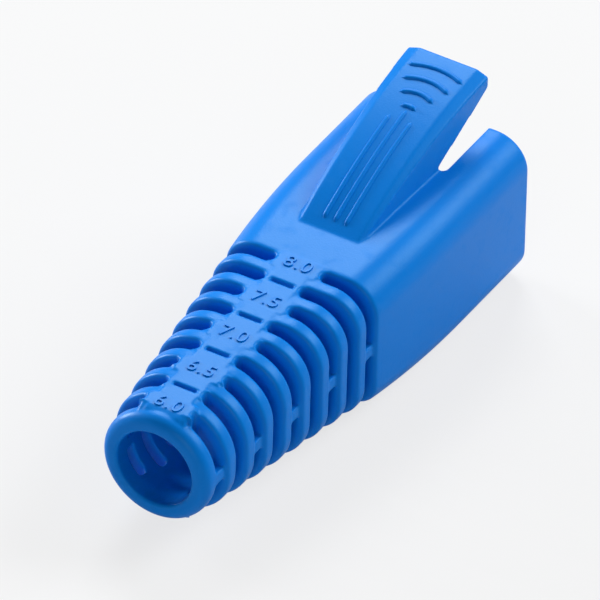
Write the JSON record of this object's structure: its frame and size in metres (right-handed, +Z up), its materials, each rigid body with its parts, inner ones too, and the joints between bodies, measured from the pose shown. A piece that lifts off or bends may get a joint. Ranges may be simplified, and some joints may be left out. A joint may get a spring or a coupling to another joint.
{
  "type": "rj45 strain relief boot",
  "caption": "Slip-on strain relief boot for a network plug: a hollow hood with an arched latch guard tapers into a slotted, flexible cable sleeve.",
  "frame": {"origin": "centre of the cable bore in the end face of the sleeve", "axes": "+X along the cable axis from the cable end to the plug mouth, +Z up to the latch guard, Y across"},
  "size_m": [0.041, 0.014, 0.0171],
  "materials": {
    "soft_pvc": "satin moulded soft PVC in one bright blue"
  },
  "bodies": {
    "root": {"boot": "soft_pvc"}
  },
  "joints": []
}
